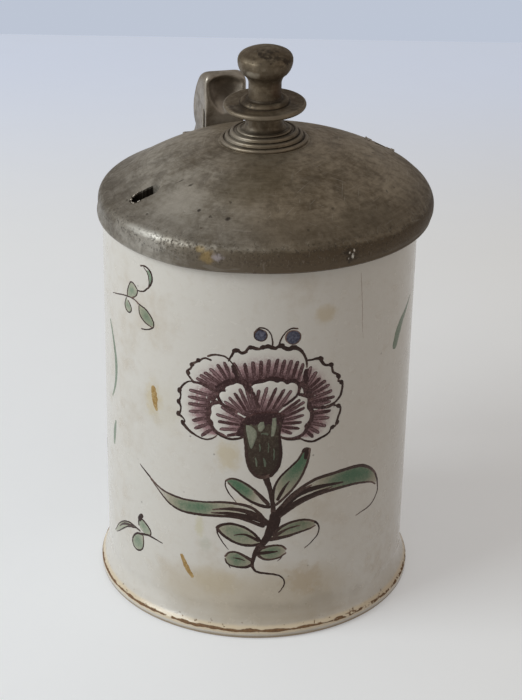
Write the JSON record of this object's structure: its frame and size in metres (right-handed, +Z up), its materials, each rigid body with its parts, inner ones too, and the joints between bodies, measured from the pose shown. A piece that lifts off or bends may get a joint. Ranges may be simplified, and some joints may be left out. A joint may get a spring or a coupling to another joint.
{
  "type": "lidded jug",
  "caption": "Cylindrical tin-glazed jug with an ear handle and a domed pewter lid hinged behind the rim, lifted by a thumbpiece.",
  "frame": {"origin": "centre of the flat base", "axes": "+Z up along the jug, +Y towards the handle, +X to the right of a viewer who faces the front"},
  "size_m": [0.1082, 0.1462, 0.1835],
  "materials": {
    "faience": "glossy tin glaze, greyish white",
    "pewter_lid": "old pewter, satin with dark patina",
    "pewter_mount": "old pewter, satin, rubbed bright on the edges"
  },
  "bodies": {
    "jug": {"faience_body": "faience", "faience_handle": "faience", "handle_clasp": "pewter_mount", "hinge_pin": "pewter_mount"},
    "lid": {"lid_shell": "pewter_lid", "lid_knop": "pewter_lid", "thumbpiece": "pewter_mount", "lid_hinge_leaf": "pewter_mount"}
  },
  "joints": [
    {"name": "lid_hinge", "type": "hinge", "parent": "jug", "child": "lid", "pos_m": [0, 0.063, 0.1315], "axis": [-1, 0, 0], "range_deg": [0, 115]}
  ]
}
